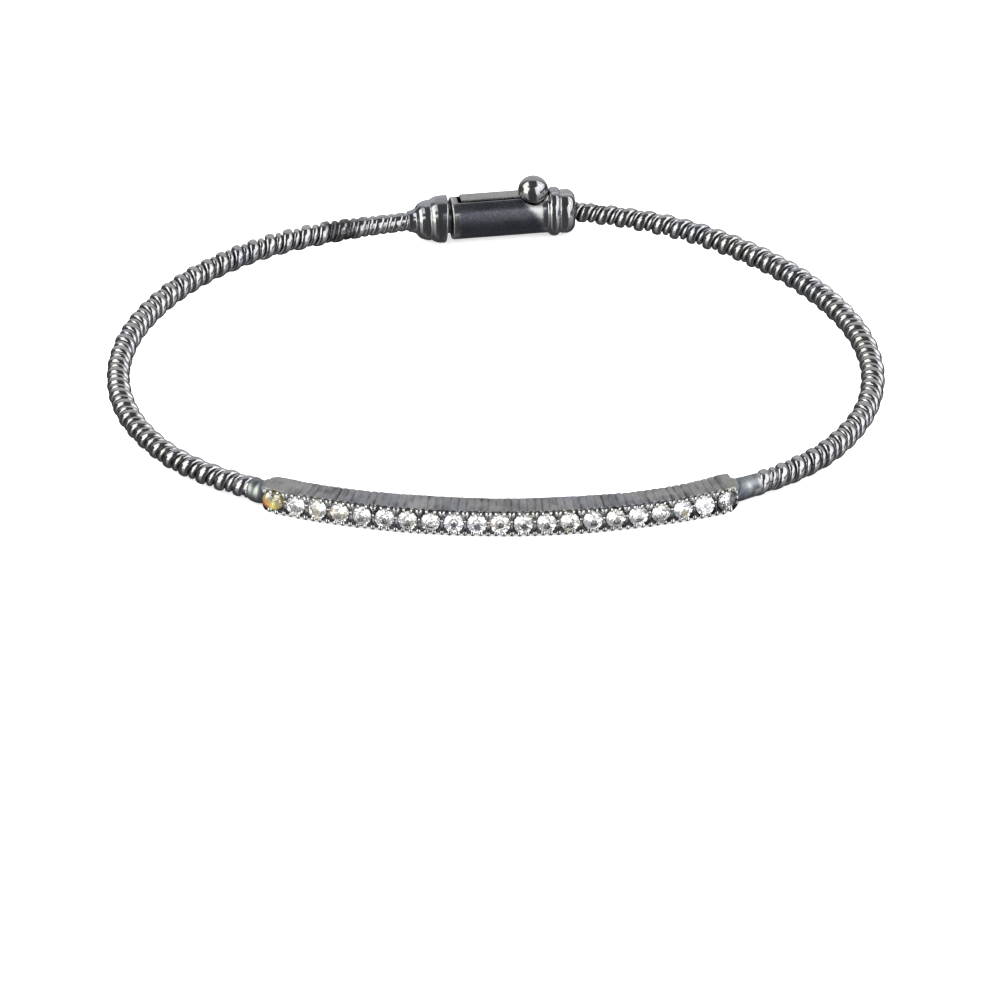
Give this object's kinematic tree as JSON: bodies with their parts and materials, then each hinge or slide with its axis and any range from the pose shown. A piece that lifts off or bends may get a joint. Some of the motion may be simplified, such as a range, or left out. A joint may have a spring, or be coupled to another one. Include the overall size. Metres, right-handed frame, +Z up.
{
  "type": "bangle",
  "caption": "Slim rigid oval bangle: wire-wound arms, a curved bar set with a row of small round stones, and a barrel clasp released by a ball-ended thumb lever.",
  "frame": {"origin": "middle of the footprint, on the surface that the bangle lies on", "axes": "+X across the width of the loop, +Y from the stone bar at the front to the clasp at the back, +Z up, along the axis of the wrist opening"},
  "size_m": [0.0606, 0.0494, 0.0051],
  "materials": {
    "bar_silver": "blackened silver, satin, ribs worn brighter along their edges",
    "wound_silver": "blackened silver wire, polished on the crowns and black in the grooves",
    "clasp_silver": "blackened silver, fine satin",
    "lever_silver": "blackened silver, polished by the thumb",
    "stone": "clear faceted stone"
  },
  "bodies": {
    "bangle": {"stone_bar": "bar_silver", "stone_row": "stone", "wire_arm_left": "wound_silver", "wire_arm_right": "wound_silver", "end_cap": "clasp_silver", "clasp_barrel": "clasp_silver", "lever_pin": "lever_silver"},
    "lever": {"thumb_lever": "lever_silver"}
  },
  "joints": [
    {"name": "lever_press", "type": "hinge", "parent": "bangle", "child": "lever", "pos_m": [-0.00007, 0.02214, 0.00293], "axis": [-0.1564, 0.9877, 0], "range_deg": [0, 5], "stiffness_Nm_per_rad": 0.02}
  ]
}
